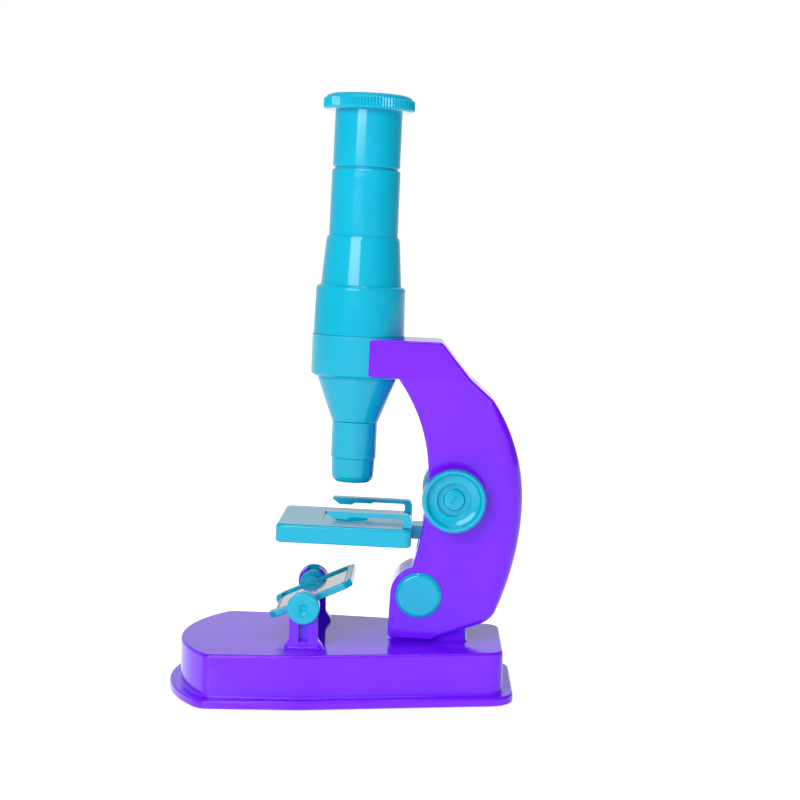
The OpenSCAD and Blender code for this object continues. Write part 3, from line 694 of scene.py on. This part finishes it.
def arm_half(far):
    """One shell of the arm. The far one has the screws' heads, the near one their pilot holes."""
    outline = arm_outline()
    radii = smooth_list([edge_radius(p) for p in outline])
    radii = [min(r, 1.1) if z > 78 else r for r, (x, z) in zip(radii, outline)]
    cuts = [
        arm_cavity(),
        rod((-TUBE_OFF, 0, 70), (-TUBE_OFF, 0, 110), 17.35, 128),
        block((-6, -6.4, 15.7), (5.5, 6.4, 33.7)),
        block((-9.2, -7.95, -30), (23.3, 7.95, -5.5)),
        rod((0, -30, 0), (0, 30, 0), 2.05),
        rod((0, -30, 0), (0, -7.9, 0), 4.4, 48),
        rod((SHAFT_X, -30, SHAFT_Z), (SHAFT_X, 30, SHAFT_Z), 2.05),
    ]
    for x, z in SCREWS:
        if far:
            cuts.append(rod((x, -30, z), (x, -5, z), 3.0, 48))
            cuts.append(rod((x, -6, z), (x, 3, z), 1.5, 32))
        else:
            cuts.append(rod((x, -8, z), (x, 3, z), 1.42, 32))
    solid = carve(arm_side(outline, radii), cuts)
    if far:
        solid.transform(FLIP_Y)
    return solid


piece("arm_near_v", arm_half(False), "arm", ["arm_near"], PURPLE, ARM)
piece("arm_far_v", arm_half(True), "arm", ["arm_far"], PURPLE, ARM)


def cap_solid():
    return lathe([(0, 10.8), (3.7, 10.8), (3.7, 10.3), (4.38, 10.3), (4.38, 10.8),
                  (8.1, 10.8), (8.5, 10.95, 0.1), (8.5, 11.3, 0.3), (7.5, 12.35, 1.6), (0, 12.62)], 128)


piece("pivot_cap_near_v", cap_solid(), "arm", ["pivot_cap_near"], TEAL, ARM @ NEAR)
piece("pivot_cap_far_v", cap_solid(), "arm", ["pivot_cap_far"], TEAL, ARM @ FAR)

# ---- tube ----


def collar_solid():
    """The ring round the tube and the key that the arm's head clamps."""
    inner, outer = 15.2, 17.3
    low, high = 79.4, 94.8
    ring = lathe([(inner, low), (16.3, low, 0.5), (outer, low + 1, 0.5), (outer, high, 0.25), (inner, high)], 192)
    key = block((14.2, -8, 82.25), (27, 8, 92.15))
    hole = rod((22, -20, 87.2), (22, 20, 87.2), 4.05)
    key = carve(key, [hole, rod((0, 0, 70), (0, 0, 110), inner + 0.1, 128)])
    return carve(ring, [key], "UNION")


piece("head_collar_v", collar_solid(), "arm", ["head_collar"], TEAL, AXIS)

# Turned parts: name, body and (radius, height, corner radius) section.
ROUND = [
    ("body_tube", "arm", [
        (13, 84), (15.15, 84), (15.15, 94.85), (16.9, 94.85, 0.1), (17.05, 95.2, 0.2), (17, 96.5),
        (16.55, 111.6, 0.5), (16.2, 112.6, 0.6), (15.3, 113.1, 0.3), (14.9, 113.2, 0.2),
        (13.6, 129.8, 0.4), (13.2, 131.1, 0.3), (12.8, 131.1), (12.8, 120), (13, 119.6)]),
    ("draw_tube", "arm", [
        (11.7, 119.8), (12.75, 119.8), (12.75, 131.6), (12.6, 155.1, 0.3),
        (12.3, 155.5, 0.2), (11.7, 155.5)]),
    ("eyepiece_barrel", "eyepiece", [
        (9.2, 140.5), (11.65, 140.5), (11.65, 156.4), (12.2, 156.4, 0.1), (12.4, 156.6, 0.2),
        (12.35, 179.6), (10.4, 179.6), (10.4, 158.2), (9.2, 158.2)]),
    ("nose_cone", "arm", [
        (13.2, 83.9), (13.2, 78), (7, 62.6), (8.4, 62.6, 0.1), (8.75, 63, 0.3),
        (14.5, 78.2, 0.5), (14.65, 79.35), (15.15, 79.35), (15.15, 83.9)]),
    ("objective_barrel", "arm", [
        (5.4, 49), (8.2, 49), (8.4, 49.2, 0.15), (8.4, 62.4, 0.15), (8.2, 62.55),
        (6.95, 62.55), (6.95, 66), (5.4, 66)]),
    ("objective_tip", "arm", [
        (2.4, 41.6), (5.2, 40.02, 0.1), (6.3, 40, 0.5), (7.3, 40.9, 0.8), (7.8, 42.2, 0.8),
        (8.1, 48.8, 0.1), (8, 48.95), (5.35, 48.95), (5.35, 54), (4.05, 54), (4.05, 42.4), (2.4, 42.4)]),
]
for name, body, section in ROUND:
    piece(name + "_v", lathe(section, 192), body, [name], TEAL, AXIS)


def cap_teeth(r, z):
    return 0.42 if r > 16.3 and 177.6 < z < 181.3 else 0.0


def eyepiece_cap():
    """The ribbed rim, the sloping top and the eye hole."""
    section = [
        (12.42, 177), (15.5, 177, 0.3), (16.35, 177.4, 0.4), (16.78, 177.9, 0.15), (16.8, 180.9, 0.15),
        (16.3, 181.35, 0.1), (15.95, 181.5, 0.1), (15.75, 182.1, 0.3), (14.6, 182.7, 0.8), (10, 183.05),
        (5.4, 183.2, 0.2), (4, 181.3), (9.95, 181.3), (9.95, 179.6), (12.42, 179.6)]
    return lathe(section, teeth=90, depth=cap_teeth)


piece("eyepiece_cap_v", eyepiece_cap(), "eyepiece", ["eyepiece_cap"], TEAL, AXIS)

# ---- stage ----


STAGE_TOP, STAGE_LOW = 26.2, 19.4
PEG_X, PEG_Y = -5.9, 18.5


def stage_solid():
    x0, x1, y = -53.1, -3.7, 23.6
    wall, hollow_h, light_r = 2.0, 2.9, 6.5
    under, over = STAGE_LOW - 3, STAGE_TOP + 3
    outline = rounded(x0, x1, -y, y, 3, 8)
    slab = plate(outline, STAGE_LOW, STAGE_TOP, (0.9, 1.3), 6, True)
    hollow = plate(inset(outline, wall), STAGE_LOW - 1, STAGE_LOW + hollow_h, 0.3, 2, True)
    light = rod((-TUBE_OFF, 0, under), (-TUBE_OFF, 0, over), light_r, 96)
    boss = rod((-TUBE_OFF, 0, under), (-TUBE_OFF, 0, STAGE_LOW + 4), light_r + 1.8, 96)
    pegs = [rod((PEG_X, s * PEG_Y, under), (PEG_X, s * PEG_Y, STAGE_LOW + 4), 3.0, 48) for s in (-1, 1)]
    hollow = carve(hollow, [boss] + pegs)
    recess = plate(rounded(-37, -7, -12.5, 12.5, 1.2), STAGE_TOP - 0.5, STAGE_TOP + 2, 0.01, 1, True)
    cuts = [hollow, light, recess, block((-6.7, -6.02, STAGE_LOW - 1), (-2.7, 6.02, 25.22))]
    cuts += [rod((PEG_X, s * PEG_Y, under), (PEG_X, s * PEG_Y, over), 1.3, 32) for s in (-1, 1)]
    cuts += [rod((-12, s * 3.2, STAGE_LOW), (-12, s * 3.2, 25), 0.98, 24) for s in (-1, 1)]
    return carve(slab, cuts)


piece("stage_plate_v", stage_solid(), "stage", ["stage_plate"], TEAL, ARM)


def slider_solid():
    """The bracket's neck, its tongue under the stage, and the slide plate with the rack's seven teeth."""
    neck = plate([(-5.68, -6), (4, -6), (4, 6), (-5.68, 6)], 20.2, 25.2, 0.35, 3, True)
    tongue = plate([(-16, -5.8), (-5.4, -5.8), (-5.4, 5.8), (-16, 5.8)], 20.3, 22.1, 0.2, 2, True)
    slide = plate([(3.8, -7.5), (5.9, -7.5), (5.9, 7.5), (3.8, 7.5)], 18.2, 46.8, 0.3, 2, True)
    parts = [tongue, slide]
    for i in range(-4, 3):
        z = SHAFT_Z + (i + 0.5) * math.pi
        flank = [(5.85, 1.02), (7.2, 0.62), (8.2, 0.26)]
        tooth = [(x, z - d) for x, d in flank] + [(x, z + d) for x, d in reversed(flank)]
        parts.append(plate(tooth, -4, 4, 0.05, 1))
    solid = carve(neck, parts, "UNION")
    return carve(solid, [rod((-12, s * 3.2, 19), (-12, s * 3.2, 25), 1.1, 24) for s in (-1, 1)])


piece("stage_slider_v", slider_solid(), "stage", ["stage_slider"], TEAL, ARM)


def clip_solid():
    """A sprung strap on a peg, with its foot bent down to the slide and its tip turned up."""
    bar, t = 29.8, 1.4
    foot = STAGE_TOP + 0.1
    side = fillet([
        (-4.1, foot), (-4.1, bar + t, 2.0), (-34.4, bar + t, 0.5), (-35, bar + 0.9, 0.5), (-33.8, bar, 0.5),
        (-32, bar - 1.3, 0.5), (-27.4, bar - 1.3, 0.5), (-26.2, bar - 0.5, 0.5), (-19.8, bar - 0.5, 0.5),
        (-19, bar, 0.5), (-6.9, bar, 1.0), (-6.9, foot)], 5)
    strap = plate(side, -2.5, 2.5, 0.25, 3)
    return carve(strap, [rod((PEG_X, 0, 20.8), (PEG_X, 0, 27.2), 1.25, 40)], "UNION")


for side, y in (("near", -PEG_Y), ("far", PEG_Y)):
    piece("stage_clip_%s_v" % side, clip_solid(), "clip_" + side, ["stage_clip_" + side], TEAL,
          ARM @ Matrix.Translation((0, y, 0)))

# ---- knobs ----


def knob_teeth(r, _):
    return 0.95 * min(1, max(0, (r - 10.4) / 1.2))


def knob_solid():
    """The toothed rim, the dish, the cup and the slit boss over the shaft's end."""
    o, r, shaft_r = 22.1, 11.85, 2.02
    section = [
        (shaft_r, 13.5), (5, 13.5, 0.3), (5, o - 5.7), (10.2, o - 5.5), (10.2, o - 5.6), (11.5, o - 5.6, 0.2),
        (r, o - 5.2, 0.15), (r, o - 0.2, 0.05), (11.6, o, 0.05), (10.2, o, 0.3), (9.85, o - 0.5, 0.3),
        (9.5, o - 2.4, 0.9), (7.6, o - 3.0, 0.8), (6.2, o - 3.1, 0.25), (6.1, o - 5.0, 0.3),
        (3.9, o - 5.0, 0.4), (3.7, o - 3.9, 0.4), (0, o - 3.7), (0, 17.5), (shaft_r, 17.5)]
    slit = block((-1.9, -0.28, 17.9), (1.9, 0.28, 20))
    slit.transform(Matrix.Rotation(math.radians(54), 4, "Z"))
    return carve(lathe(section, teeth=80, depth=knob_teeth, steps=4), [slit])


def shaft_solid():
    return lathe([(0, -17.4), (1.7, -17.4), (2.0, -17.1), (2.0, 17.1), (1.7, 17.4), (0, 17.4)], 64)


piece("focus_shaft_v", shaft_solid(), "focus", ["focus_shaft"], STEEL, KNOB @ NEAR)
piece("focus_knob_near_v", knob_solid(), "focus", ["focus_knob_near"], TEAL, KNOB @ NEAR)
piece("focus_knob_far_v", knob_solid(), "focus", ["focus_knob_far"], TEAL, KNOB @ FAR)

# ---- floor, light and camera ----


def floor():
    mesh = bpy.data.meshes.new("floor")
    s = 6.0
    mesh.from_pydata([(-s, -s, 0), (s, -s, 0), (s, s, 0), (-s, s, 0)], [], [(0, 1, 2, 3)])
    ob = bpy.data.objects.new("floor", mesh)
    bpy.context.scene.collection.objects.link(ob)
    ob.location.z = -0.0004
    mat, nt, sh = new_material("floor_white")
    grain = noise(nt, 3, 1)
    nt.links.new(tones(nt, grain, (0.62, 0.62, 0.63), (0.64, 0.64, 0.65)), sh.inputs["Base Color"])
    nt.links.new(spread(nt, grain, 0.10, 0.14), sh.inputs["Roughness"])
    sh.inputs["Specular IOR Level"].default_value = 0.45
    sh.inputs["Emission Color"].default_value = (1, 1, 1, 1)
    sh.inputs["Emission Strength"].default_value = 0.74
    mesh.materials.append(mat)


floor()


def studio():
    """Soft surround: brightest low behind the object, dimmer in front and above, darker on the right.
    The camera itself sees plain white."""
    world = bpy.data.worlds.new("studio")
    bpy.context.scene.world = world
    world.use_nodes = True
    nt = world.node_tree
    nt.nodes.clear()
    out = nt.nodes.new("ShaderNodeOutputWorld")
    bg = nt.nodes.new("ShaderNodeBackground")
    white = nt.nodes.new("ShaderNodeBackground")
    white.inputs["Color"].default_value = (1, 1, 1, 1)
    white.inputs["Strength"].default_value = 1.0
    tc = nt.nodes.new("ShaderNodeTexCoord")
    sep = nt.nodes.new("ShaderNodeSeparateXYZ")
    nt.links.new(tc.outputs["Generated"], sep.inputs[0])

    def ramp(source, stops):
        """A grey level from a direction's coordinate, by (coordinate, level) stops."""
        mr = nt.nodes.new("ShaderNodeMapRange")
        mr.inputs["From Min"].default_value = -1
        mr.inputs["From Max"].default_value = 1
        nt.links.new(source, mr.inputs["Value"])
        cr = nt.nodes.new("ShaderNodeValToRGB")
        els = cr.color_ramp.elements
        while len(els) < len(stops):
            els.new(0.5)
        for e, (p, v) in zip(els, stops):
            e.position = (p + 1) / 2
            e.color = (v, v, v, 1)
        nt.links.new(mr.outputs["Result"], cr.inputs["Fac"])
        return cr.outputs["Color"]

    def times(a, b):
        mix = nt.nodes.new("ShaderNodeMix")
        mix.data_type, mix.blend_type = "RGBA", "MULTIPLY"
        mix.inputs[0].default_value = 1
        nt.links.new(a, mix.inputs[6])
        nt.links.new(b, mix.inputs[7])
        return mix.outputs[2]

    stops = [(-1, 0.5), (-0.3, 0.95), (0.2, 1.0), (0.55, 0.6), (0.85, 0.2), (1, 0.15)]
    across = ramp(sep.outputs["X"], stops)
    depth = ramp(sep.outputs["Y"], [(-1, 0.5), (0.0, 0.6), (0.6, 0.95), (1, 1.0)])
    height = ramp(sep.outputs["Z"], [(-1, 0.8), (0.0, 1.0), (0.3, 0.95), (0.6, 0.5), (1, 0.35)])
    nt.links.new(times(times(across, depth), height), bg.inputs["Color"])
    bg.inputs["Strength"].default_value = 0.85
    lp = nt.nodes.new("ShaderNodeLightPath")
    mix = nt.nodes.new("ShaderNodeMixShader")
    nt.links.new(lp.outputs["Is Camera Ray"], mix.inputs[0])
    nt.links.new(bg.outputs[0], mix.inputs[1])
    nt.links.new(white.outputs[0], mix.inputs[2])
    nt.links.new(mix.outputs[0], out.inputs["Surface"])


studio()


def softbox(name, where, aim, size, power, size_y=None):
    data = bpy.data.lights.new(name, "AREA")
    data.energy = power
    data.size = size
    if size_y:
        data.shape = "RECTANGLE"
        data.size_y = size_y
    ob = bpy.data.objects.new(name, data)
    bpy.context.scene.collection.objects.link(ob)
    ob.location = where
    ob.rotation_euler = (Vector(aim) - Vector(where)).to_track_quat("-Z", "Y").to_euler()


softbox("key", (-0.4, -1.1, 0.62), (0, 0, 0.1), 0.7, 11.5)
softbox("top", (0, -0.25, 1.0), (0, 0, 0.1), 0.5, 2.5, 0.2)

cam_data = bpy.data.cameras.new("photo")
cam_data.lens = 77.5387845
cam_data.sensor_width = 36
cam = bpy.data.objects.new("photo", cam_data)
bpy.context.scene.collection.objects.link(cam)
YAW, PITCH, ROLL = -0.017, 0.0864, 0.0204
fwd = Vector((math.sin(YAW) * math.cos(PITCH), math.cos(YAW) * math.cos(PITCH), -math.sin(PITCH)))
right0 = Vector((math.cos(YAW), -math.sin(YAW), 0))
up0 = right0.cross(fwd)
right = right0 * math.cos(ROLL) + up0 * math.sin(ROLL)
up = up0 * math.cos(ROLL) - right0 * math.sin(ROLL)
m = Matrix((right, up, -fwd)).transposed().to_4x4()
m.translation = (0.031138, -0.639995, 0.163324)
cam.matrix_world = m
bpy.context.scene.camera = cam
bpy.context.scene.view_settings.view_transform = "Standard"
